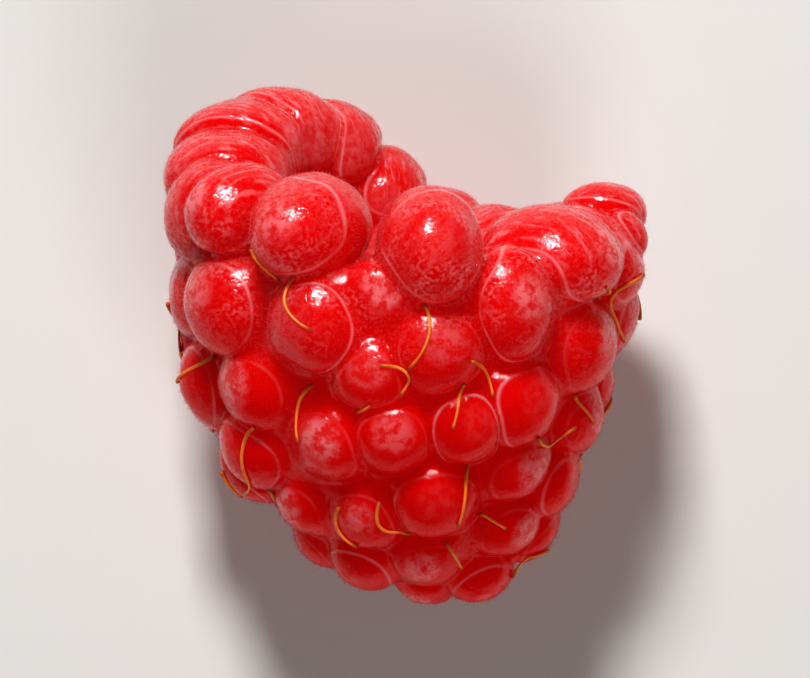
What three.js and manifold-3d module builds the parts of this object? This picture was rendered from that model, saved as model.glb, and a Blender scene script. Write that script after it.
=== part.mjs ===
// A picked raspberry lying on its side, in millimetres.
// It is one grown piece: drupelets joined into a thimble, open where it came off its core.
import * as THREE from "three";
import { mergeVertices } from "three/addons/utils/BufferGeometryUtils.js";
import Module from "manifold-3d";

const wasm = await Module();
wasm.setup();

// ---------------------------------------------------------------- driving sizes
// The fruit is laid out standing on its tip: +Z runs from the tip to the rim, azimuth 0 is +X.

const HALF_WIDTH = 10.2; // outline across, at the shoulder and above
const HALF_DEPTH = 9.0; // outline front to back, at the same place
const SHOULDER = 15.0; // height above the tip where the sides stop widening
const ROUNDNESS = 1.7; // how quickly the outline swells away from the tip
const TIP_SHIFT = 1.7; // the tip is pulled this far toward +X
const BEND_HEIGHT = 9.0; // the pull has faded out at this height

const MOUTH_RADIUS = 5.2; // the hollow across, at the rim
const END_RADIUS = 3.1; // the hollow across, where its round end starts
const MOUTH_HEIGHT = 24.0; // above the highest drupelet, so the hollow is open
const END_HEIGHT = 8.0; // where the round end starts
const WALL_TOP = 15.5; // the flesh between the drupelets reaches this high
const WALL_SKIN = 1.5; // and stays this far inside the outline
const STAGGER = 0.5; // crowns lie up to this much below the outline, each by its own share

const TIP_DOWN = 13.0; // degrees the tip points below level, lying down
const ROLL = -2.5; // degrees rolled about the fruit's own length
const FLATTENED = 0.7; // the contact spots are pressed flat by this much

const FINE_FACETS = 2; // facet detail of the large drupelets of the rim
const COARSE_FACETS = 1; // and of the others

// Drupelets of the rim: azimuth in degrees, height of the crown above the tip, radius,
// then how much taller than that they are, how much broader, how much longer toward the
// hollow, and how far the crown is sunk below the outline.
const RIM = [
  [194, 16.8, 2.3, 1.05, 1.0, 1.0, 0.3],
  [214, 17.2, 1.85, 1.1, 1.0, 1.35],
  [242, 16.8, 2.3, 1.0, 1.0, 1.35, -0.25],
  [281, 16.1, 2.2, 1.2, 1.0, 1.35, -0.3],
  [332, 15.3, 2.3, 0.95, 1.15, 1.35],
  [355, 14.6, 2.2, 1.1, 1.1, 1.3],
  [358, 15.7, 1.35, 1.0, 1.0, 1.2],
  [8, 16.6, 1.5, 0.85, 1.2, 1.2],
  [21, 14.8, 2.0, 1.0, 1.1, 1.35],
  [40, 13.8, 2.2, 1.0, 1.1, 1.35],
  [60, 13.8, 2.2, 1.0, 1.1, 1.35],
  [80, 14.7, 2.1, 1.0, 1.1, 1.35],
  [99, 16.5, 1.9, 1.1, 1.1, 1.35],
  [117, 18.6, 2.0, 1.0, 1.2, 1.35],
  [136, 19.2, 2.1, 1.0, 1.4, 1.35],
  [154, 18.9, 2.1, 1.0, 1.5, 1.35],
  [173, 18.0, 2.1, 1.0, 1.5, 1.3, 0.3],
];
// The other drupelets: azimuth, height and radius, and the same four where they differ
// from a plain round drupelet.
const BODY = [
  [180, 12.8, 2.5],
  [214, 13.2, 2.45, 1.0, 1.0, 1.0, -0.2],
  [248, 12.8, 2.3],
  [267, 14.0, 1.8, 1.0, 1.0, 0.8, 0.75],
  [283, 11.8, 2.45],
  [304, 13.5, 1.95, 1.3, 1.0, 1.0, -0.4],
  [339, 11.2, 2.5],
  [5, 12.2, 2.4],
  [27, 11.6, 2.4],
  [50, 10.7, 2.4],
  [73, 11.5, 2.4],
  [95, 13.1, 2.45],
  [117, 15.0, 2.4],
  [138, 15.5, 2.45],
  [159, 14.7, 2.45],
  [186, 9.2, 2.4],
  [221, 9.5, 2.3],
  [264, 10.6, 2.15, 1.0, 1.0, 1.0, 0.25],
  [310, 9.1, 2.25],
  [350, 7.7, 2.25],
  [15, 8.7, 2.15],
  [38, 7.6, 2.2],
  [61, 7.6, 2.2],
  [83, 8.5, 2.2],
  [105, 9.9, 2.2],
  [128, 11.4, 2.35],
  [150, 11.0, 2.25],
  [168, 10.7, 2.05],
  [209, 6.7, 2.15],
  [248, 7.4, 2.15],
  [270, 7.9, 2.1],
  [293, 8.4, 2.1],
  [316, 6.1, 2.05],
  [343, 5.0, 2.0],
  [12, 5.4, 2.0],
  [38, 4.5, 2.0],
  [66, 4.4, 2.05],
  [92, 5.2, 2.05],
  [116, 6.8, 2.15],
  [141, 7.6, 2.15],
  [164, 7.2, 2.05],
  [188, 5.6, 1.95],
  [219, 4.2, 2.05],
  [251, 4.0, 2.0],
  [282, 4.9, 2.15],
  [322, 3.2, 1.9],
  [355, 2.6, 1.85],
  [38, 2.0, 1.85],
  [84, 2.2, 1.85],
  [122, 3.4, 1.95],
  [157, 4.0, 1.95],
  [190, 2.3, 1.8],
  [226, 1.7, 1.8],
  [270, 1.8, 1.95],
  [322, 0.7, 1.75],
  [20, 0.2, 1.75],
  [100, 0.4, 1.85],
  [158, 1.3, 1.8],
  [235, 0.1, 1.7],
];

// ---------------------------------------------------------------- solids

// A three.js geometry as a closed solid.
function solid(geometry) {
  geometry.deleteAttribute("normal");
  geometry.deleteAttribute("uv");
  const merged = mergeVertices(geometry);
  return new wasm.Manifold(
    new wasm.Mesh({
      numProp: 3,
      vertProperties: merged.attributes.position.array,
      triVerts: new Uint32Array(merged.index.array),
    }),
  );
}

// A closed solid as a three.js geometry.
function geometryOf(made) {
  const mesh = made.getMesh();
  return new THREE.BufferGeometry()
    .setAttribute("position", new THREE.BufferAttribute(mesh.vertProperties, 3))
    .setIndex(new THREE.BufferAttribute(mesh.triVerts, 1));
}

function joined(solids) {
  return solids.reduce((sum, next) => sum.add(next));
}

// ---------------------------------------------------------------- outline of the fruit

// Share of the full half width reached at a height above the tip.
function fullness(height) {
  const left = 1 - THREE.MathUtils.clamp(height / SHOULDER, 0, 1);
  return Math.sqrt(1 - left ** ROUNDNESS);
}

function sidewaysPull(height) {
  const left = 1 - THREE.MathUtils.clamp(height / BEND_HEIGHT, 0, 1);
  return TIP_SHIFT * left ** 2;
}

// Point on the outline, and the direction straight out of it.
function outlineAt(azimuth, height) {
  const step = 0.05;
  const around = THREE.MathUtils.degToRad(azimuth);
  const slope = (fullness(height + step) - fullness(Math.max(0, height - step))) / (2 * step);
  const wide = fullness(height);
  const point = new THREE.Vector3(
    sidewaysPull(height) + HALF_WIDTH * wide * Math.cos(around),
    HALF_DEPTH * wide * Math.sin(around),
    height,
  );
  const out = new THREE.Vector3(
    Math.cos(around),
    Math.sin(around),
    -slope * HALF_WIDTH,
  ).normalize();
  return { point, out };
}

// ---------------------------------------------------------------- drupelets

// An even, repeatable spread of values from 0 to 1 over whole numbers.
function spread(number) {
  return (number * 0.618034 + 0.37) % 1;
}

// One drupelet, an ellipsoid with its crown on the outline or sunk a little below it.
function drupelet([azimuth, height, radius, tall = 1, broad = 1, reach = 1, sunk = 0], facets, lower) {
  const { point, out } = outlineAt(azimuth, height);
  const across = new THREE.Vector3(0, 0, 1).cross(out).normalize();
  const up = out.clone().cross(across);
  const axes = new THREE.Matrix4().makeBasis(out, across, up);
  const centre = point.addScaledVector(out, -(radius * reach + sunk + lower));
  const place = new THREE.Matrix4()
    .setPosition(centre)
    .multiply(axes)
    .scale(new THREE.Vector3(radius * reach, radius * broad, radius * tall));
  return solid(new THREE.IcosahedronGeometry(1, facets).applyMatrix4(place));
}

function allDrupelets() {
  const rim = RIM.map((entry) => drupelet(entry, FINE_FACETS, 0));
  const body = BODY.map((entry, row) =>
    drupelet(entry, COARSE_FACETS, STAGGER * spread(RIM.length + row)),
  );
  return [...rim, ...body];
}

// ---------------------------------------------------------------- flesh and hollow

// A body of revolution squeezed front to back like the fruit.
function turned(profile) {
  const points = profile.map(([radius, height]) => new THREE.Vector2(radius, height));
  const body = new THREE.LatheGeometry(points, 24);
  return solid(body.scale(1, 1, HALF_DEPTH / HALF_WIDTH).rotateX(Math.PI / 2));
}

function flesh() {
  const profile = [[0, WALL_SKIN]];
  for (let height = WALL_SKIN + 0.5; height < WALL_TOP; height += 2.5) {
    profile.push([HALF_WIDTH * fullness(height) - WALL_SKIN, height]);
  }
  profile.push([HALF_WIDTH - WALL_SKIN, WALL_TOP], [0, WALL_TOP]);
  return turned(profile);
}

function hollow() {
  const profile = [];
  const roundSteps = 4;
  for (let step = 0; step <= roundSteps; step += 1) {
    const angle = (step / roundSteps) * (Math.PI / 2);
    profile.push([END_RADIUS * Math.sin(angle), END_HEIGHT - END_RADIUS * Math.cos(angle)]);
  }
  profile.push([MOUTH_RADIUS, MOUTH_HEIGHT], [0, MOUTH_HEIGHT]);
  return turned(profile);
}

// ---------------------------------------------------------------- the fruit, laid down

function standingFruit() {
  return joined([flesh(), ...allDrupelets()]).subtract(hollow());
}

// Lays the fruit on its back half, tip toward -Y, and presses its lowest spots flat.
function laidDown(standing) {
  const rolled = new THREE.Matrix4().makeRotationZ(THREE.MathUtils.degToRad(ROLL));
  const lying = new THREE.Matrix4().makeRotationX(-THREE.MathUtils.degToRad(90 - TIP_DOWN));
  const geometry = geometryOf(standing).applyMatrix4(lying.multiply(rolled));
  geometry.computeBoundingBox();
  const { min, max } = geometry.boundingBox;
  const middleX = (min.x + max.x) / 2;
  const middleY = (min.y + max.y) / 2;
  geometry.translate(-middleX, -middleY, -min.z - FLATTENED);
  const below = new THREE.BoxGeometry(100, 100, 20).translate(0, 0, -10);
  return solid(geometry).subtract(solid(below));
}

const SKIN = new THREE.MeshStandardMaterial({
  color: 0xc8101a,
  roughness: 0.35,
  metalness: 0,
});

const fruit = new THREE.Mesh(geometryOf(laidDown(standingFruit())), SKIN);
fruit.name = "raspberry";

const raspberry = new THREE.Group();
raspberry.add(fruit);

export default raspberry;
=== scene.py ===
"""A picked raspberry lying on its side, seen from above with its tip toward the viewer.

The fruit is worked out standing on its tip, in millimetres: +Z runs from the tip to the
rim and azimuth 0 is +X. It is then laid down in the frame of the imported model, in metres.
"""

import math

import bpy
import numpy as np
import openvdb
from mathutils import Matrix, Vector


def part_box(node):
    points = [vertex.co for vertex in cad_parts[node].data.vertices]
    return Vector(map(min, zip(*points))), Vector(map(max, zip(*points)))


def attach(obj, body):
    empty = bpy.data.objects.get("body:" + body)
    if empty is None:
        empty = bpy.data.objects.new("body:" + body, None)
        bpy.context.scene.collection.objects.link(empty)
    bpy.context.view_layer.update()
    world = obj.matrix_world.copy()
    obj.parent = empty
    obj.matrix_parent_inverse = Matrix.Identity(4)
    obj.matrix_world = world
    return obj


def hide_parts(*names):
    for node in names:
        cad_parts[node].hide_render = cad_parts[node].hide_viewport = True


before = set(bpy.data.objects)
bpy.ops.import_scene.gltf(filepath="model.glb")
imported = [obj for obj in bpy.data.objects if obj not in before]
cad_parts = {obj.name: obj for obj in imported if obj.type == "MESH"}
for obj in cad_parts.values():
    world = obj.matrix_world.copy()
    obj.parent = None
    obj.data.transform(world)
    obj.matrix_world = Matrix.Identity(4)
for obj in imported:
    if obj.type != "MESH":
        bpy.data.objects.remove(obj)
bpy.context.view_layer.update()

MM = 0.001

# ---------------------------------------------------------------- driving sizes, mm

HALF_WIDTH = 10.2  # outline across, at the shoulder and above
HALF_DEPTH = 9.0  # outline front to back, at the same place
SHOULDER = 15.0  # height above the tip where the sides stop widening
ROUNDNESS = 1.7  # how quickly the outline swells away from the tip
TIP_SHIFT = 1.7  # the tip is pulled this far toward +X
BEND_HEIGHT = 9.0  # the pull has faded out at this height

MOUTH_RADIUS = 5.2  # of the hollow, at MOUTH_HEIGHT
MOUTH_HEIGHT = 24.0
END_RADIUS = 3.1  # of the hollow, at END_HEIGHT, where its round end starts
END_HEIGHT = 8.0

FLESH_TOP = 15.5  # the flesh between the drupelets reaches this high,
FLESH_BOTTOM = 1.5  # starts this far above the tip,
FLESH_DEPTH = 1.55  # and stays this far inside the outline
FLESH_ROUND = 1.0  # roundness of its top and bottom edges

NEIGHBOUR_GAP = 0.6  # drupelets further apart than this don't press on each other
GROWN_TOGETHER = 0.05  # neighbours overlap by this much under the crease
CREASE_ROUND = 0.45  # how softly a drupelet turns into the crease
CREASE_BOTTOM = 0.25  # roundness of the crease's bottom
RIB_ROUND = 0.5  # the same at its inner end, in the hollow
EDGE_ROUND = 1.0  # how softly the pale line inside a drupelet's edge turns its corners
# Along a proud drupelet's own steep edge the pale line is painted sheen, the glow of the down at
# that edge.
BROW = 0.4  # a proud drupelet's own edge lies about this far above its widest part,
BROW_WANDER = 0.5  # rises and falls by up to this share of that,
BROW_WIDTH = 2  # and makes its pale line this many times as wide
STAGGER = 0.5  # crowns lie up to this much below the outline, each by its own share
SWELL = 0.09  # how far the skin swells and sinks in gentle waves
WAVE_LENGTHS = (1.3, 2.8)
WAVE_COUNT = 7
WAVE_DRAW = 3  # seed of the waves' random draw

TIP_DOWN = 13.0  # degrees the tip points below level, lying down
ROLL = -2.5  # degrees rolled about the fruit's own length
FLATTENED = 0.7  # the contact spots are pressed flat by this much
SPOT_ROUND = 0.2  # roundness of their edges

GRID_STEP = 0.16  # spacing of the surface's points
GRID_MARGIN = 3 * GRID_STEP  # empty room kept round the fruit
SETTLING_ROUNDS = 2  # each moves those points nearer to the exact surface
FIELD_MARGIN = 0.5  # a drupelet's field is worked out this far past its skin
FAR = 1e3  # stands for a distance that nothing has set yet

# Drupelets of the rim: azimuth in degrees, height of the crown above the tip, radius,
# then how much taller than that they are, how much broader, and how much longer inward,
# and how far the crown is sunk below the outline.
RIM = [
    (194, 16.8, 2.3, 1.05, 1.0, 1.0, 0.3),
    (214, 17.2, 1.85, 1.1, 1.0, 1.35),
    (242, 16.8, 2.3, 1.0, 1.0, 1.35, -0.25),
    (281, 16.1, 2.2, 1.2, 1.0, 1.35, -0.3),
    (332, 15.3, 2.3, 0.95, 1.15, 1.35),
    (355, 14.6, 2.2, 1.1, 1.1, 1.3),
    (358, 15.7, 1.35, 1.0, 1.0, 1.2),
    (8, 16.6, 1.5, 0.85, 1.2, 1.2),
    (21, 14.8, 2.0, 1.0, 1.1, 1.35),
    (40, 13.8, 2.2, 1.0, 1.1, 1.35),
    (60, 13.8, 2.2, 1.0, 1.1, 1.35),
    (80, 14.7, 2.1, 1.0, 1.1, 1.35),
    (99, 16.5, 1.9, 1.1, 1.1, 1.35),
    (117, 18.6, 2.0, 1.0, 1.2, 1.35),
    (136, 19.2, 2.1, 1.0, 1.4, 1.35),
    (154, 18.9, 2.1, 1.0, 1.5, 1.35),
    (173, 18.0, 2.1, 1.0, 1.5, 1.3, 0.3),
]

# The last four of those, for drupelets that don't give them.
USUAL_SHAPE = (1.0, 1.0, 1.0, 0.0)

# The other drupelets: azimuth, height and radius, and the same four where they show.
BODY = [
    (180, 12.8, 2.5),
    (214, 13.2, 2.45, 1.0, 1.0, 1.0, -0.2),
    (248, 12.8, 2.3),
    (267, 14.0, 1.8, 1.0, 1.0, 0.8, 0.75),
    (283, 11.8, 2.45),
    (304, 13.5, 1.95, 1.3, 1.0, 1.0, -0.4),
    (339, 11.2, 2.5),
    (5, 12.2, 2.4),
    (27, 11.6, 2.4),
    (50, 10.7, 2.4),
    (73, 11.5, 2.4),
    (95, 13.1, 2.45),
    (117, 15.0, 2.4),
    (138, 15.5, 2.45),
    (159, 14.7, 2.45),
    (186, 9.2, 2.4),
    (221, 9.5, 2.3),
    (264, 10.6, 2.15, 1.0, 1.0, 1.0, 0.25),
    (310, 9.1, 2.25),
    (350, 7.7, 2.25),
    (15, 8.7, 2.15),
    (38, 7.6, 2.2),
    (61, 7.6, 2.2),
    (83, 8.5, 2.2),
    (105, 9.9, 2.2),
    (128, 11.4, 2.35),
    (150, 11.0, 2.25),
    (168, 10.7, 2.05),
    (209, 6.7, 2.15),
    (248, 7.4, 2.15),
    (270, 7.9, 2.1),
    (293, 8.4, 2.1),
    (316, 6.1, 2.05),
    (343, 5.0, 2.0),
    (12, 5.4, 2.0),
    (38, 4.5, 2.0),
    (66, 4.4, 2.05),
    (92, 5.2, 2.05),
    (116, 6.8, 2.15),
    (141, 7.6, 2.15),
    (164, 7.2, 2.05),
    (188, 5.6, 1.95),
    (219, 4.2, 2.05),
    (251, 4.0, 2.0),
    (282, 4.9, 2.15),
    (322, 3.2, 1.9),
    (355, 2.6, 1.85),
    (38, 2.0, 1.85),
    (84, 2.2, 1.85),
    (122, 3.4, 1.95),
    (157, 4.0, 1.95),
    (190, 2.3, 1.8),
    (226, 1.7, 1.8),
    (270, 1.8, 1.95),
    (322, 0.7, 1.75),
    (20, 0.2, 1.75),
    (100, 0.4, 1.85),
    (158, 1.3, 1.8),
    (235, 0.1, 1.7),
]

# Dried styles that cling to the side shown in front: azimuth and height at a few places
# along each, from the root to the end.
FRONT_STYLES = [
    [(234, 16.2), (238, 14.8)],
    [(244, 15.1), (243, 14.1), (251, 13.1)],
    [(278, 14.1), (279, 12.9), (274, 11.4)],
    [(267, 11.5), (274, 11.1), (272, 10.1)],
    [(259, 9.1), (264, 9.7)],
    [(246, 10.2), (240, 9.1), (241, 7.9)],
    [(289, 10.6), (286, 8.9)],
    [(290, 11.7), (296, 10.9), (298, 9.9)],
    [(204, 10.8), (186, 9.7)],
    [(225, 8.3), (218, 7.2), (214, 6.0), (198, 5.1)],
    [(191, 6.0), (186, 4.8)],
    [(209, 5.1), (194, 3.7)],
    [(247, 5.0), (243, 4.1), (248, 3.4)],
    [(262, 5.2), (261, 4.2), (270, 3.7)],
    [(293, 6.8), (291, 5.6), (289, 4.5)],
    [(313, 8.2), (325, 7.3), (336, 8.0)],
    [(351, 14.4), (342, 13.3), (355, 11.4)],
    [(330, 14.3), (342, 13.4)],
    [(285, 3.1), (293, 1.8)],
    [(301, 4.2), (311, 3.9)],
    [(333, 9.4), (343, 8.2)],
]

# The drupelets outside these azimuths have styles that are drawn at random.
FRONT_AZIMUTHS = (185, 355)
HIDDEN_LENGTH = (0.8, 1.4)  # of one of such a style's two legs
HIDDEN_ROOT_LOWEST = 1.0  # it starts at least this far above the tip
HIDDEN_LOWEST = 0.5  # and stays this far above it
STYLE_DRAW = 7  # seed of their random draw

STYLE_RADIUS = 0.075
STYLE_STEPS = 16  # rings along a style
STYLE_SIDES = 8
STYLE_START = 1.5  # it is lowered onto the skin from this far outside the outline
STYLE_SAG = 0.01  # how far it may sag between one ring and the next
LOWERING_ROUNDS = 60
LOWERING_SHARE = 0.7  # of the way left to the skin, each round
TIGHTENING_ROUNDS = 12

HAIR_COUNT = 38000  # fine hairs over the whole fruit
HAIR_LENGTH = (0.08, 0.22)
HAIR_RADIUS = 0.007
HAIR_FOOT = 0.03  # a hair starts this far under the skin
HAIR_LEAN = 0.4  # spread of how far hairs lean, as a share of upright
HAIR_CORNERS = (0, 2.1, 4.2)  # radians round its foot
BARE_MOUTH = 1.0  # no hairs this near the hollow
BARE_SPOT = 0.4  # nor this near the table
HAIR_DRAW = 11  # seed of their random draw


# ---------------------------------------------------------------- outline of the fruit


def fullness(height):
    """Share of the full half width reached at a height above the tip."""
    left = 1 - np.clip(height / SHOULDER, 0, 1)
    return np.sqrt(1 - left**ROUNDNESS)


def sideways_pull(height):
    """How far the fruit's middle is pulled toward +X at a height above the tip."""
    left = 1 - np.clip(height / BEND_HEIGHT, 0, 1)
    return TIP_SHIFT * left**2


def unit(vector):
    """The vector made 1 long."""
    return vector / np.linalg.norm(vector)


def outline_at(azimuth, height):
    """Point on the outline, and the direction straight out of it."""
    step = 0.05
    around = math.radians(azimuth)
    slope = (fullness(height + step) - fullness(max(0, height - step))) / (2 * step)
    wide = fullness(height)
    point = np.array(
        [
            sideways_pull(height) + HALF_WIDTH * wide * math.cos(around),
            HALF_DEPTH * wide * math.sin(around),
            height,
        ]
    )
    out = unit(np.array([math.cos(around), math.sin(around), -slope * HALF_WIDTH]))
    return point, out


# ---------------------------------------------------------------- drupelets


class Drupelet:
    """An ellipsoid with its crown on the outline, pressed flat where neighbours meet it."""

    def __init__(self, number, azimuth, height, radius, tall=1.0, broad=1.0, reach=1.0, sunk=0.0):
        crown, out = outline_at(azimuth, height)
        across = unit(np.cross([0, 0, 1], out))
        self.number = number
        self.axes = np.array([out, across, np.cross(out, across)])
        self.half = radius * np.array([reach, broad, tall])
        self.centre = crown - out * (self.half[0] + sunk)
        self.bound = self.half.max() + FIELD_MARGIN
        self.sunk = sunk
        self.walls = []

    def reach_toward(self, direction):
        """Distance from the centre to the ellipsoid's surface in a direction."""
        return 1 / np.linalg.norm(self.axes @ direction / self.half)

    def support(self, direction):
        """How far the ellipsoid extends along a direction, from the origin."""
        return self.centre @ direction + np.linalg.norm(self.axes @ direction * self.half)

    def meet(self, other):
        """Adds the flat wall between this drupelet and a neighbour, if they are close."""
        apart = other.centre - self.centre
        distance = np.linalg.norm(apart)
        toward = apart / distance
        mine = self.reach_toward(toward)
        theirs = other.reach_toward(toward)
        if distance < mine + theirs + NEIGHBOUR_GAP:
            wall = (distance**2 + mine**2 - theirs**2) / (2 * distance)
            self.walls.append((toward, wall + GROWN_TOGETHER))

    def local(self, points):
        """Places on the ellipsoid in its own axes, 1 at its surface."""
        return (points - self.centre) @ self.axes.T / self.half

    def past_edge(self, points):
        """How far points are past the drupelet's edge, negative inside it.

        The edge is its walls. A proud drupelet has one where no neighbour meets it, too.
        """
        past = np.full(len(points), -FAR)
        if self.sunk < 0:
            brow = BROW * (1 + BROW_WANDER * waves(points))
            past = (brow - (points - self.centre) @ self.axes[0]) / BROW_WIDTH
        for toward, wall in self.walls:
            past = smooth_max(past, (points - self.centre) @ toward - wall, EDGE_ROUND)
        return past

    def field(self, points):
        """Signed distance to the drupelet's skin, negative inside."""
        local = self.local(points)
        near = np.linalg.norm(local, axis=1)
        steep = np.linalg.norm(local / self.half, axis=1)
        skin = near * (near - 1) / np.maximum(steep, 1e-6)
        for toward, wall in self.walls:
            skin = smooth_max(skin, (points - self.centre) @ toward - wall, CREASE_ROUND)
        return skin


def smooth_max(a, b, round_off):
    """The larger of two distances, with the corner between them rounded off."""
    close = np.maximum(round_off - np.abs(a - b), 0)
    return np.maximum(a, b) + close**2 / (4 * round_off)


def spread(number):
    """An even, repeatable spread of values from 0 to 1 over whole numbers."""
    return (number * 0.618034 + 0.37) % 1.0


def make_drupelets():
    """All the drupelets, each with its walls against its neighbours."""
    made = [Drupelet(number, *entry) for number, entry in enumerate(RIM)]
    for number, entry in enumerate(BODY, len(RIM)):
        *shape, sunk = entry + USUAL_SHAPE[len(entry) - 3 :]
        made.append(Drupelet(number, *shape, sunk + STAGGER * spread(number)))
    for drupelet in made:
        for other in made:
            if other is not drupelet:
                drupelet.meet(other)
    return made


drupelets = make_drupelets()


# ---------------------------------------------------------------- flesh, hollow, table


def squeezed_distance(points):
    """Distance from the fruit's length, in a section as deep as it is wide."""
    return np.hypot(points[:, 0], points[:, 1] * HALF_WIDTH / HALF_DEPTH)


def flesh_field(points):
    """The flesh that joins the drupelets, a little way inside the outline."""
    height = points[:, 2]
    middle = points - np.stack([sideways_pull(height), 0 * height, 0 * height], axis=1)
    side = squeezed_distance(middle) - HALF_WIDTH * fullness(height) + FLESH_DEPTH
    below_top = smooth_max(side, height - FLESH_TOP, FLESH_ROUND)
    return smooth_max(below_top, FLESH_BOTTOM - height, FLESH_ROUND)


def hollow_field(points):
    """The hollow that the core left, negative inside it."""
    height = points[:, 2]
    widening = (MOUTH_RADIUS - END_RADIUS) / (MOUTH_HEIGHT - END_HEIGHT)
    across = squeezed_distance(points)
    side = across - END_RADIUS - widening * np.maximum(height - END_HEIGHT, 0)
    end = np.hypot(across, height - END_HEIGHT) - END_RADIUS
    return np.where(height > END_HEIGHT, side, end)


def turn_about(axis, degrees):
    """Matrix of a turn about X or Z."""
    cos, sin = math.cos(math.radians(degrees)), math.sin(math.radians(degrees))
    if axis == "X":
        return np.array([[1, 0, 0], [0, cos, -sin], [0, sin, cos]])
    return np.array([[cos, -sin, 0], [sin, cos, 0], [0, 0, 1]])


LYING = turn_about("X", -(90 - TIP_DOWN)) @ turn_about("Z", ROLL)


def furthest_along(direction):
    """How far the standing fruit extends along a direction, from the origin."""
    return max(drupelet.support(direction) for drupelet in drupelets)


def lying_shift():
    """Moves the laid-down fruit over the middle of the CAD box, pressed into the table."""
    low = np.array([-furthest_along(-row) for row in LYING])
    high = np.array([furthest_along(row) for row in LYING])
    cad_low, cad_high = (np.array(corner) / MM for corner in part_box("raspberry"))
    shift = (cad_low + cad_high) / 2 - (low + high) / 2
    shift[2] = cad_low[2] - low[2] - FLATTENED
    return shift


SHIFT = lying_shift()


def laid_down(points):
    """Points of the standing fruit, in mm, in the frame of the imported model, in metres."""
    return (points @ LYING.T + SHIFT) * MM


def table_field(points):
    """How far points are below the table the fruit lies on."""
    return -(points @ LYING[2] + SHIFT[2])


def waves(points):
    """Gentle swelling and sinking from place to place, from -1 to 1."""
    draw = np.random.default_rng(WAVE_DRAW)
    total = np.zeros(len(points))
    for _ in range(WAVE_COUNT):
        direction = unit(draw.normal(size=3)) * 2 * math.pi / draw.uniform(*WAVE_LENGTHS)
        total += np.sin(points @ direction + draw.uniform(0, 2 * math.pi))
    return total / WAVE_COUNT


def fruit_field(points):
    """Signed distance to the whole fruit's skin, negative inside."""
    skin = flesh_field(points)
    for drupelet in drupelets:
        near = np.linalg.norm(points - drupelet.centre, axis=1) < drupelet.bound
        skin[near] = -smooth_max(-skin[near], -drupelet.field(points[near]), CREASE_BOTTOM)
    skin = smooth_max(skin, -hollow_field(points), RIB_ROUND) + SWELL * waves(points)
    return smooth_max(skin, table_field(points), SPOT_ROUND)


# ---------------------------------------------------------------- the fruit's mesh


def grid_points():
    """Low corner, counts and points of a grid round the standing fruit."""
    centres = np.array([drupelet.centre for drupelet in drupelets])
    reaches = np.array([[drupelet.half.max()] for drupelet in drupelets])
    low = (centres - reaches).min(axis=0) - GRID_MARGIN
    high = (centres + reaches).max(axis=0) + GRID_MARGIN
    counts = np.ceil((high - low) / GRID_STEP).astype(int)
    lines = [low[i] + GRID_STEP * np.arange(counts[i]) for i in range(3)]
    points = np.stack(np.meshgrid(*lines, indexing="ij"), axis=-1).reshape(-1, 3)
    return low, counts, points


def settle_on_skin(points):
    """Moves grid-made points onto the exact skin."""
    step = 0.02
    furthest = 0.4 * GRID_STEP
    least_slope = 0.5
    for _ in range(SETTLING_ROUNDS):
        here = fruit_field(points)
        slope = np.stack(
            [(fruit_field(points + step * axis) - here) / step for axis in np.eye(3)], axis=1
        )
        size = np.maximum(np.linalg.norm(slope, axis=1), least_slope)
        move = np.clip(here / size**2, -furthest, furthest)
        points = points - move[:, None] * slope
    return points


def largest_shell(points, quads):
    """Leaves out the faces round small pockets closed off between drupelets."""
    # Each point takes the lowest number among its neighbours, until a shell has only one.
    shell = np.arange(len(points))
    while True:
        lowest = shell.copy()
        np.minimum.at(lowest, quads.ravel(), np.repeat(shell[quads].min(axis=1), 4))
        lowest = lowest[lowest]
        if np.array_equal(lowest, shell):
            break
        shell = lowest
    kept = shell == np.bincount(shell).argmax()
    number = np.cumsum(kept) - 1
    return points[kept], number[quads[kept[quads[:, 0]]]]


def skin_mesh():
    """Points and four-cornered faces of the fruit's skin."""
    low, counts, points = grid_points()
    grid = openvdb.FloatGrid(GRID_MARGIN)
    grid.copyFromArray(fruit_field(points).reshape(counts).astype(np.float32))
    vertices, quads = grid.convertToQuads(isovalue=0.0)
    vertices, quads = largest_shell(low + vertices.astype(float) * GRID_STEP, quads)
    return settle_on_skin(vertices), quads


def mesh_object(name, vertices, faces):
    """A smooth-shaded object in the scene, from points in metres."""
    mesh = bpy.data.meshes.new(name)
    mesh.from_pydata(vertices.tolist(), [], [list(map(int, face)) for face in faces])
    mesh.polygons.foreach_set("use_smooth", [True] * len(mesh.polygons))
    mesh.update()
    made = bpy.data.objects.new(name, mesh)
    bpy.context.scene.collection.objects.link(made)
    return made


def add_attribute(mesh, name, values):
    """A value, or a vector of three, at each point for the material to read."""
    kind, field = ("FLOAT_VECTOR", "vector") if values.ndim == 2 else ("FLOAT", "value")
    attribute = mesh.attributes.new(name, kind, "POINT")
    attribute.data.foreach_set(field, values.astype(np.float32).ravel())


def describe_skin(mesh, points):
    """Gives the material each point's drupelet, and its place on that drupelet."""
    owner = np.zeros(len(points), int)
    nearest = np.full(len(points), FAR)
    for drupelet in drupelets:
        near = np.linalg.norm(points - drupelet.centre, axis=1) < drupelet.bound
        field = drupelet.field(points[near])
        closer = np.flatnonzero(near)[field < nearest[near]]
        nearest[closer] = field[field < nearest[near]]
        owner[closer] = drupelet.number
    local = np.zeros((len(points), 3))
    crease = np.zeros(len(points))
    for drupelet in drupelets:
        mine = owner == drupelet.number
        local[mine] = drupelet.local(points[mine])
        crease[mine] = -drupelet.past_edge(points[mine])
    add_attribute(mesh, "place", local)
    add_attribute(mesh, "from_crease", -smooth_max(-crease, -flesh_field(points), EDGE_ROUND))
    add_attribute(mesh, "inside", np.clip(1 - hollow_field(points), 0, 1))
    add_attribute(mesh, "variety", spread(owner))
    add_attribute(mesh, "on_rim", (owner < len(RIM)).astype(float))
    add_attribute(mesh, "sunk", np.array([drupelet.sunk for drupelet in drupelets])[owner])
    add_attribute(mesh, "height", points[:, 2])


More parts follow.
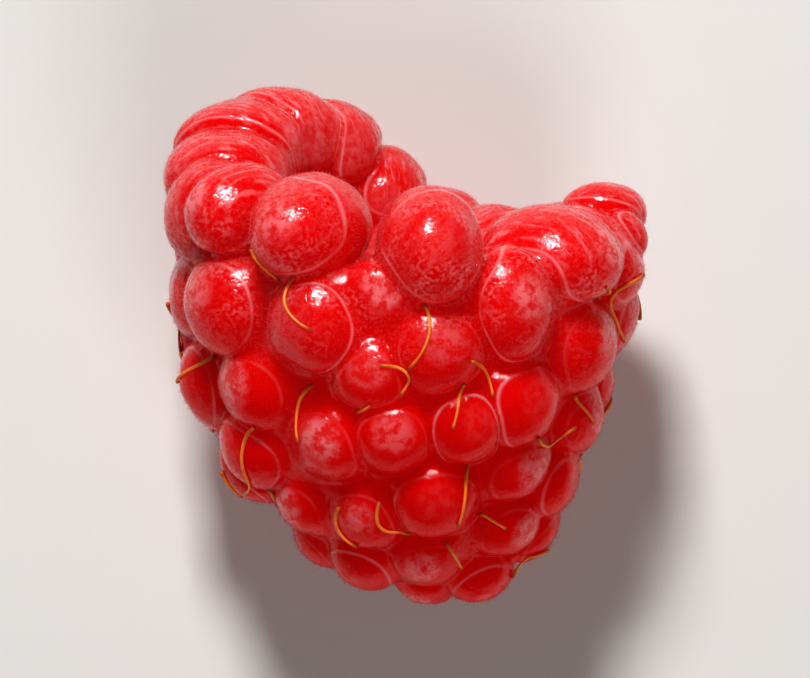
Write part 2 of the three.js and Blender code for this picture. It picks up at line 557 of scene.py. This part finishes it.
def make_fruit(points, quads):
    """The whole fruit as one object, laid down."""
    fruit = mesh_object("fruit", laid_down(points), quads)
    describe_skin(fruit.data, points)
    return fruit


def skin_normals(points):
    """Direction straight out of the skin at points on it."""
    step = 0.05
    sides = [(points + step * axis, points - step * axis) for axis in np.eye(3)]
    slope = np.stack([fruit_field(ahead) - fruit_field(behind) for ahead, behind in sides], axis=1)
    return slope / np.linalg.norm(slope, axis=1)[:, None]


# ---------------------------------------------------------------- dried styles


def hidden_styles():
    """Styles for the drupelets of the sides and back, as places like FRONT_STYLES."""
    made = []
    draw = np.random.default_rng(STYLE_DRAW)
    for azimuth, height, *_ in BODY:
        heading = draw.uniform(0, 2 * math.pi)
        bend = draw.uniform(-1, 1)
        length = draw.uniform(*HIDDEN_LENGTH)
        facing_front = FRONT_AZIMUTHS[0] < azimuth < FRONT_AZIMUTHS[1]
        if facing_front or height < HIDDEN_ROOT_LOWEST:
            continue
        places = [(azimuth, height)]
        for turn in (0, bend):
            around = length * math.cos(heading + turn) / (HALF_WIDTH * fullness(height))
            up = length * math.sin(heading + turn)
            last_azimuth, last_height = places[-1]
            place = (last_azimuth + math.degrees(around), max(last_height + up, HIDDEN_LOWEST))
            places.append(place)
        made.append(places)
    return made


def smooth_course(places):
    """Azimuths and heights at even steps along a style."""
    knots = np.linspace(0, 1, len(places))
    along = np.linspace(0, 1, STYLE_STEPS)
    curves = [np.polyfit(knots, values, len(places) - 1) for values in zip(*places)]
    return [np.polyval(curve, along) for curve in curves]


def lie_on_skin(courses):
    """Points along each style as it lies on the skin, pulled straight over the creases.

    Styles that would lie squashed under the fruit are left out.
    """
    shell = [outline_at(azimuth, height) for course in courses for azimuth, height in zip(*course)]
    point, out = np.array(shell).swapaxes(0, 1)
    start = point + STYLE_START * out
    depth = np.zeros(len(start))
    for _ in range(LOWERING_ROUNDS):
        depth += LOWERING_SHARE * fruit_field(start - depth[:, None] * out)
    depth = depth.reshape(-1, STYLE_STEPS)
    for _ in range(TIGHTENING_ROUNDS):
        straight = (depth[:, :-2] + depth[:, 2:]) / 2
        depth[:, 1:-1] = np.minimum(depth[:, 1:-1], straight + STYLE_SAG)
    points = start - (depth.reshape(-1, 1) - STYLE_RADIUS) * out
    clear = table_field(points).reshape(-1, STYLE_STEPS).max(axis=1) < -2 * STYLE_RADIUS
    return points.reshape(-1, STYLE_STEPS, 3)[clear]


def thickness_along():
    """Radius of a style from its root to its end, which is a small knob."""
    along = np.linspace(0, 1, STYLE_STEPS)
    taper = 1.15 - 0.55 * along
    knob = 0.5 * np.exp(-(((along - 0.97) / 0.06) ** 2))
    return STYLE_RADIUS * (taper + knob)


ASKEW = [0.3, 0.5, 0.8]  # a direction that no style or hair happens to have


def tube(points, radii):
    """Points and faces of a round tube with closed ends."""
    ahead = np.gradient(points, axis=0)
    ahead /= np.linalg.norm(ahead, axis=1)[:, None]
    side = unit(np.cross(ahead[0], ASKEW))
    turns = 2 * math.pi * np.arange(STYLE_SIDES) / STYLE_SIDES
    rings = []
    for point, direction, radius in zip(points, ahead, radii):
        side = unit(side - (side @ direction) * direction)
        other = np.cross(direction, side)
        ring = np.outer(np.cos(turns), side) + np.outer(np.sin(turns), other)
        rings.append(point + radius * ring)
    faces = []
    for ring in range(len(points) - 1):
        for corner in range(STYLE_SIDES):
            here = ring * STYLE_SIDES + corner
            beside = ring * STYLE_SIDES + (corner + 1) % STYLE_SIDES
            faces.append([here, beside, beside + STYLE_SIDES, here + STYLE_SIDES])
    last = (len(points) - 1) * STYLE_SIDES
    faces.append(list(range(STYLE_SIDES))[::-1])
    faces.append(list(range(last, last + STYLE_SIDES)))
    return np.concatenate(rings), faces


def make_styles():
    """All the styles as one object, with how far along each a point is."""
    vertices, faces, along = [], [], []
    courses = [smooth_course(places) for places in FRONT_STYLES + hidden_styles()]
    for number, route in enumerate(lie_on_skin(courses)):
        points, sides = tube(route, thickness_along())
        first = number * len(points)
        vertices.append(points)
        faces.extend([first + corner for corner in side] for side in sides)
        along.append(np.repeat(np.linspace(0, 1, STYLE_STEPS), STYLE_SIDES))
    styles = mesh_object("styles", laid_down(np.concatenate(vertices)), faces)
    add_attribute(styles.data, "along", np.concatenate(along))
    return styles


# ---------------------------------------------------------------- downy hairs


def make_down(points, normals):
    """Fine pale hairs all over the outside, each a thin closed spike."""
    draw = np.random.default_rng(HAIR_DRAW)
    outside = (hollow_field(points) > BARE_MOUTH) & (table_field(points) < -BARE_SPOT)
    chosen = draw.permutation(np.flatnonzero(outside))[:HAIR_COUNT]
    root, out = points[chosen], normals[chosen]
    lean = draw.normal(0, HAIR_LEAN, (len(chosen), 3))
    length = draw.uniform(*HAIR_LENGTH, (len(chosen), 1))
    direction = out + lean
    direction /= np.linalg.norm(direction, axis=1)[:, None]
    side = np.cross(direction, ASKEW)
    side /= np.linalg.norm(side, axis=1)[:, None]
    other = np.cross(direction, side)
    foot = root - HAIR_FOOT * out
    corners = [math.cos(angle) * side + math.sin(angle) * other for angle in HAIR_CORNERS]
    corners = [foot + HAIR_RADIUS * corner for corner in corners]
    vertices = np.stack(corners + [foot + length * direction], axis=1).reshape(-1, 3)
    spike = np.array([[0, 1, 3], [1, 2, 3], [2, 0, 3], [2, 1, 0]])
    faces = (4 * np.arange(len(chosen))[:, None, None] + spike).reshape(-1, 3)
    down = mesh_object("down", laid_down(vertices), faces)
    add_attribute(down.data, "height", vertices[:, 2])
    return down


# ---------------------------------------------------------------- materials


class Recipe:
    """A material whose nodes are added one call at a time, each giving its output."""

    def __init__(self, name):
        self.material = bpy.data.materials.new(name)
        self.material.use_nodes = True
        self.nodes = self.material.node_tree.nodes
        self.shader = self.nodes["Principled BSDF"]

    def wire(self, node, inputs):
        """Sets a node's inputs, to plain values or to outputs of other nodes."""
        for key, value in inputs.items():
            if isinstance(value, bpy.types.NodeSocket):
                self.material.node_tree.links.new(value, node.inputs[key])
            else:
                node.inputs[key].default_value = value
        return node

    def add(self, kind, inputs, **settings):
        """A new node with its settings and inputs."""
        node = self.nodes.new(kind)
        for key, value in settings.items():
            setattr(node, key, value)
        return self.wire(node, inputs)

    def value(self, name):
        """A value stored at the mesh's points."""
        return self.add("ShaderNodeAttribute", {}, attribute_name=name).outputs["Fac"]

    def vector(self, name):
        """A vector stored at the mesh's points."""
        return self.add("ShaderNodeAttribute", {}, attribute_name=name).outputs["Vector"]

    def millimetres(self):
        """Place on the object, in millimetres."""
        place = self.add("ShaderNodeTexCoord", {}).outputs["Object"]
        return self.stretched(place, (1 / MM, 1 / MM, 1 / MM))

    def stretched(self, vector, by):
        """A vector with each of its parts multiplied by its own factor."""
        return self.add("ShaderNodeVectorMath", {0: vector, 1: by}, operation="MULTIPLY").outputs[0]

    def along(self, vector, direction):
        """How far a vector reaches along a direction."""
        node = self.add("ShaderNodeVectorMath", {0: vector, 1: direction}, operation="DOT_PRODUCT")
        return node.outputs["Value"]

    def part(self, vector, axis):
        """One of the three parts of a vector: X, Y or Z."""
        return self.add("ShaderNodeSeparateXYZ", {0: vector}).outputs[axis]

    def math(self, operation, a, b):
        """The result of one operation on two values."""
        return self.add("ShaderNodeMath", {0: a, 1: b}, operation=operation).outputs[0]

    def product(self, first, *others):
        """All the values multiplied."""
        for other in others:
            first = self.math("MULTIPLY", first, other)
        return first

    def largest(self, first, *others):
        """The largest of the values."""
        for other in others:
            first = self.math("MAXIMUM", first, other)
        return first

    def fade(self, value, over, result=(0.0, 1.0)):
        """Goes smoothly from the first result to the second as the value crosses a range."""
        inputs = {
            "Value": value,
            "From Min": over[0],
            "From Max": over[1],
            "To Min": result[0],
            "To Max": result[1],
        }
        node = self.add("ShaderNodeMapRange", inputs, interpolation_type="SMOOTHSTEP")
        return node.outputs["Result"]

    def noise(self, place, scale, detail=2.0, roughness=0.5):
        """Cloudy values round 0.5, in clouds about 1 / scale across."""
        inputs = {"Vector": place, "Scale": scale, "Detail": detail, "Roughness": roughness}
        return self.add("ShaderNodeTexNoise", inputs).outputs["Fac"]

    def blend(self, share, a, b):
        """Colour a where the share is 0 and b where it is 1."""
        # A mix node's inputs 6 and 7 and its output 2 are the ones for colours.
        return self.add("ShaderNodeMix", {0: share, 6: a, 7: b}, data_type="RGBA").outputs[2]

    def bump(self, height, depth, under=None):
        """Raises the surface by a height of 0 to 1 times a depth in millimetres."""
        inputs = {"Height": height, "Distance": depth * MM, "Strength": 1.0}
        if under is not None:
            inputs["Normal"] = under
        return self.add("ShaderNodeBump", inputs).outputs["Normal"]


# The rim's red is painted darker and the tip's lighter, to even out the key light that falls
# strongest on the rim: painted shade on the rim, painted light toward the tip.
TIP_RED_PAINTED_LIGHTER = (0.82, 0.0, 0.001, 1)
RIM_RED_PAINTED_DARKER = (0.72, 0.0, 0.003, 1)
# In the speckle, rings and seed patches this pale is partly painted glint, sheen and reflection.
PALE = (0.95, 0.42, 0.44, 1)  # of the speckle, streaks, rings, seeds and lining
SHEEN_PINK = (1.0, 0.4, 0.45, 1)

# Heights above the tip between which the look changes from the tip's to the rim's, mm.
RED_HEIGHTS = (10.0, 17.0)
SPECKLE_HEIGHTS = (10.0, 16.0)
BLOOM_HEIGHTS = (9.0, 15.0)

RING_START = 0.08  # the pale ring's place inside a drupelet's edge, mm
RING_MIDDLE = 0.16
RING_END = 0.26
# The seed patch is tipped rimward, toward the face seen from above, where the painted reflection of
# soft front light falls.
SEED_AND_REFLECTION_DIRECTION = (0.94, 0.0, 0.34)  # from a drupelet's middle, in its own axes
STREAK_CLOSENESS = (2.5, 11.0, 3.0)  # of the streaks along each of those axes

GRAIN_DEPTH = 0.03  # how uneven the skin is, mm
WRINKLE_DEPTH = 0.06
GLOW_DEPTH = 5.0  # how far red light travels under the skin, mm
GLOW_COLOUR = (1.0, 0.02, 0.02)  # share of that depth for red, green and blue


def speckle_share(recipe, mm, height, crown, streaked):
    """Fine pale speckle of the down, strongest on the rim's crowns and faint near the tip. It is
    partly painted glints, where the down catches the key light.
    """
    dots = recipe.fade(recipe.noise(mm, 5.5, detail=1.0), (0.38, 0.68))
    clouds = recipe.fade(recipe.noise(mm, 0.8, detail=3.0), (0.35, 0.7), (0.1, 1.0))
    amount = recipe.fade(height, SPECKLE_HEIGHTS, (0.0, 0.5))
    between_streaks = recipe.fade(streaked, (0.0, 1.0), (1.0, 0.6))
    outward = recipe.fade(crown, (-0.2, 0.7))
    return recipe.product(dots, clouds, amount, between_streaks, outward)


def streaked_share(recipe, place, on_rim, sunk):
    """The upper sides of the long drupelets of the rim, where their skin is streaked."""
    on_top = recipe.fade(recipe.part(place, "Z"), (-0.3, 0.3))
    pressed = recipe.fade(sunk, (-0.25, -0.1), (0.2, 1.0))
    return recipe.product(on_top, pressed, on_rim)


def streak_share(recipe, place, streaked):
    """Pale streaks along a drupelet."""
    narrowed = recipe.stretched(place, STREAK_CLOSENESS)
    streaks = recipe.fade(recipe.noise(narrowed, 1.0, detail=3.0), (0.5, 0.68), (0.0, 0.4))
    return recipe.product(streaks, streaked)


def ring_and_edge_sheen_share(recipe, mm, from_crease, sunk):
    """A thin pale line just inside the edge of the prouder drupelets, broken here and there. It is
    partly the line where neighbours touch and partly painted sheen, the glow of the down where the
    drupelet turns steeply away.
    """
    rise = recipe.fade(from_crease, (RING_START, RING_MIDDLE))
    fall = recipe.fade(from_crease, (RING_MIDDLE, RING_END), (1.0, 0.0))
    broken = recipe.fade(recipe.noise(mm, 0.4), (0.36, 0.55), (0.15, 0.6))
    proud = recipe.fade(sunk, (0.08, 0.2), (1.0, 0.25))
    return recipe.product(rise, fall, broken, proud)


def seed_and_reflection_share(recipe, mm, place, variety):
    """A pale patch a little rimward of some crowns: partly the seed that shows faintly through the
    skin, and partly a painted reflection of soft light from the front.
    """
    middle = recipe.fade(recipe.along(place, SEED_AND_REFLECTION_DIRECTION), (0.86, 0.99))
    clouds = recipe.noise(mm, 2.0, detail=3.0, roughness=0.65)
    cloudy = recipe.fade(clouds, (0.38, 0.6), (0.15, 1.0))
    amount = recipe.fade(variety, (0.0, 0.8), (0.1, 0.6))
    return recipe.product(middle, cloudy, amount)


def lining_share(recipe, mm, inside):
    """The paler, mealy lining of the hollow."""
    grains = recipe.noise(mm, 3.0, detail=3.0, roughness=0.6)
    mealy = recipe.fade(grains, (0.3, 0.7), (0.05, 0.4))
    return recipe.product(mealy, recipe.fade(inside, (0.3, 1.0)))


def fruit_skin():
    """Wet red skin with pale marks, and a broken bloom over it that is stronger on the rim. The red
    is painted darker on the rim and lighter toward the tip, and some of the pale marks are partly
    painted glints, sheen and reflection.
    """
    recipe = Recipe("fruit_skin")
    mm = recipe.millimetres()
    place = recipe.vector("place")
    height = recipe.value("height")
    sunk = recipe.value("sunk")

    # painted shade on the rim and painted light toward the tip, evening out the key light
    red = recipe.blend(recipe.fade(height, RED_HEIGHTS), TIP_RED_PAINTED_LIGHTER, RIM_RED_PAINTED_DARKER)
    streaked = streaked_share(recipe, place, recipe.value("on_rim"), sunk)
    pale = recipe.largest(
        speckle_share(recipe, mm, height, recipe.part(place, "X"), streaked),
        streak_share(recipe, place, streaked),
        ring_and_edge_sheen_share(recipe, mm, recipe.value("from_crease"), sunk),
        seed_and_reflection_share(recipe, mm, place, recipe.value("variety")),
        lining_share(recipe, mm, recipe.value("inside")),
    )

    grain = recipe.noise(mm, 6.0, roughness=0.6)
    wrinkles = recipe.noise(mm, 2.0)
    broken = recipe.fade(recipe.noise(mm, 4.0, detail=3.0, roughness=0.7), (0.42, 0.6))
    bloom = recipe.product(broken, recipe.fade(height, BLOOM_HEIGHTS, (0.15, 0.8)))
    recipe.wire(
        recipe.shader,
        {
            "Base Color": recipe.blend(pale, red, PALE),
            "Roughness": recipe.fade(grain, (0.3, 0.7), (0.06, 0.15)),
            "Normal": recipe.bump(grain, GRAIN_DEPTH, recipe.bump(wrinkles, WRINKLE_DEPTH)),
            "Specular IOR Level": 0.42,
            "Subsurface Weight": 1.0,
            "Subsurface Radius": GLOW_COLOUR,
            "Subsurface Scale": GLOW_DEPTH * MM,
            "Coat Weight": bloom,
            "Coat Roughness": 0.35,
            "Sheen Weight": 0.1,
            "Sheen Roughness": 0.35,
            "Sheen Tint": SHEEN_PINK,
        },
    )
    return recipe.material


GOLD = (0.95, 0.31, 0.05, 1)
BROWN = (0.5, 0.09, 0.015, 1)


def dried_style():
    """Golden dried thread, browner in patches and toward both ends."""
    recipe = Recipe("dried_style")
    mm = recipe.millimetres()
    along = recipe.value("along")
    root = recipe.fade(along, (0.0, 0.3), (0.8, 0.0))
    tip = recipe.fade(along, (0.85, 1.0), (0.0, 0.9))
    patches = recipe.fade(recipe.noise(mm, 0.9), (0.5, 0.7), (0.0, 0.5))
    brown = recipe.largest(root, tip, patches)
    fibres = recipe.noise(mm, 12.0)
    recipe.wire(
        recipe.shader,
        {
            "Base Color": recipe.blend(brown, GOLD, BROWN),
            "Roughness": recipe.fade(fibres, (0.3, 0.7), (0.3, 0.55)),
            "Normal": recipe.bump(fibres, 0.01),
            "Subsurface Weight": 0.4,
            "Subsurface Radius": (1.0, 0.5, 0.2),
            "Subsurface Scale": 0.15 * MM,
        },
    )
    return recipe.material


HAIR_PINK = (0.95, 0.35, 0.37, 1)
HAIR_RED = (0.8, 0.01, 0.014, 1)
HAIR_HEIGHTS = (6.0, 16.0)  # between these heights the red turns into the pink, mm


def pale_down():
    """Nearly clear hairs, pink toward the rim and redder toward the tip and in patches."""
    recipe = Recipe("pale_down")
    patches = recipe.fade(recipe.noise(recipe.millimetres(), 1.0), (0.35, 0.65), (0.0, 0.35))
    low = recipe.fade(recipe.value("height"), HAIR_HEIGHTS, (1.0, 0.0))
    colour = recipe.blend(recipe.largest(low, patches), HAIR_PINK, HAIR_RED)
    recipe.wire(recipe.shader, {"Base Color": colour, "Roughness": 0.5, "Specular IOR Level": 0.2})
    return recipe.material


# ---------------------------------------------------------------- stage


KEY_PLACE = (-0.05, 0.27, 0.3)
KEY_SIZE = 0.08
KEY_POWER = 1.25

FILL_PLACE = (0.1, -0.26, 0.26)
FILL_SIZE = 0.2
FILL_POWER = 0.4

CAMERA_ELEVATION = 86.0  # degrees: it looks nearly straight down
CAMERA_DISTANCE = 0.5
CAMERA_LENS = 540  # mm

FLOOR_SIZE = 3.0
FLOOR_GREY = (0.72, 0.71, 0.69, 1)
WORLD_STRENGTH = 0.05


def make_floor():
    """The pale paper under the fruit, which is not part of the object."""
    half = FLOOR_SIZE / 2
    corners = np.array([[-half, -half, 0], [half, -half, 0], [half, half, 0], [-half, half, 0]])
    floor = mesh_object("floor", corners, [[0, 1, 2, 3]])
    recipe = Recipe("floor_paper")
    recipe.wire(recipe.shader, {"Base Color": FLOOR_GREY, "Roughness": 0.6})
    floor.data.materials.append(recipe.material)


def make_light(name, place, size, power, target):
    """A square lamp that faces a target."""
    lamp = bpy.data.lights.new(name, "AREA")
    lamp.shape = "SQUARE"
    lamp.size = size
    lamp.energy = power
    light = bpy.data.objects.new(name, lamp)
    light.location = place
    light.rotation_euler = (Vector(target) - Vector(place)).to_track_quat("-Z", "Y").to_euler()
    bpy.context.scene.collection.objects.link(light)
    return light


def make_camera(target):
    """The camera, far away with a long lens, so that it sees hardly any perspective."""
    camera = bpy.data.objects.new("camera", bpy.data.cameras.new("camera"))
    camera.data.lens = CAMERA_LENS
    angle = math.radians(CAMERA_ELEVATION)
    back = Vector((0, -math.cos(angle), math.sin(angle)))
    camera.location = Vector(target) + back * CAMERA_DISTANCE
    camera.rotation_euler = (-back).to_track_quat("-Z", "Y").to_euler()
    camera.data.clip_start = 0.01
    bpy.context.scene.collection.objects.link(camera)
    bpy.context.scene.camera = camera


def make_world():
    """Faint white light from all around."""
    world = bpy.data.worlds.new("studio")
    bpy.context.scene.world = world
    world.use_nodes = True
    background = world.node_tree.nodes["Background"]
    background.inputs["Color"].default_value = (1, 1, 1, 1)
    background.inputs["Strength"].default_value = WORLD_STRENGTH


# ---------------------------------------------------------------- the whole scene


skin_points, skin_quads = skin_mesh()
fruit = make_fruit(skin_points, skin_quads)
fruit.data.materials.append(fruit_skin())
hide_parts("raspberry")
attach(fruit, "root")

styles = make_styles()
styles.data.materials.append(dried_style())
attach(styles, "root")

down = make_down(skin_points, skin_normals(skin_points))
down.data.materials.append(pale_down())
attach(down, "root")

make_floor()
middle = np.mean(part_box("raspberry"), axis=0)
make_light("key", KEY_PLACE, KEY_SIZE, KEY_POWER, middle)
fill = make_light("fill", FILL_PLACE, FILL_SIZE, FILL_POWER, middle)
fill.visible_glossy = False  # its reflection would lie over the skin like milk
make_camera(middle)
make_world()

bpy.context.scene.view_settings.view_transform = "Standard"
bpy.context.scene.view_settings.look = "High Contrast"
